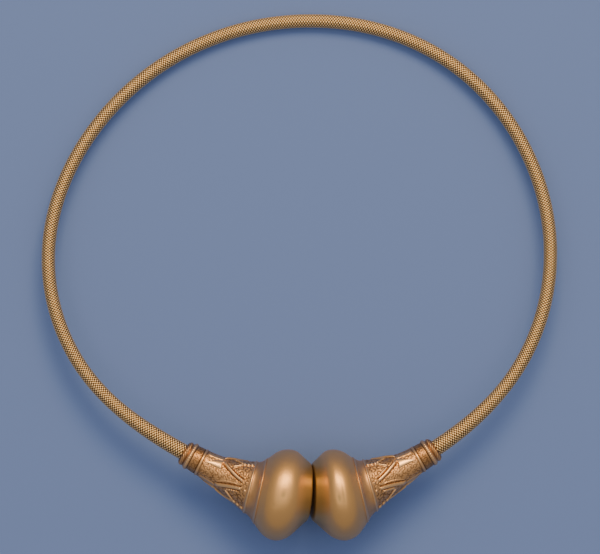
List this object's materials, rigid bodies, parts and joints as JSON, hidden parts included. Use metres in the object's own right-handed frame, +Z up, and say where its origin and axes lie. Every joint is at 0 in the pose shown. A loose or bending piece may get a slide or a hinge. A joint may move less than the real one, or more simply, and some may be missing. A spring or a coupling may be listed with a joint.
{
  "type": "gold torc",
  "caption": "Woven tubular gold neck ring that ends in trumpet-shaped relief cones and plain buffer bulbs, made to be worn round the neck; it lies flat when loose.",
  "frame": {"origin": "centre of the bounding box's underside, on the surface that the torc lies on", "axes": "+Z up from the surface, +Y from the buffers towards the far side of the hoop, +X towards the right buffer"},
  "size_m": [0.1992, 0.2032, 0.0349],
  "materials": {
    "woven_gold": "gold wire woven or chased into a fine diagonal lattice, satin, dark in the pits",
    "red_gold": "slightly red sheet gold, raised relief with stippled ground, satin",
    "yellow_gold": "plain burnished sheet gold, satin with small dents"
  },
  "bodies": {
    "root": {"hoop": "woven_gold", "collar_left": "red_gold", "collar_right": "red_gold", "cone_left": "red_gold", "cone_right": "red_gold", "buffer_left": "yellow_gold", "buffer_right": "yellow_gold"}
  },
  "joints": []
}
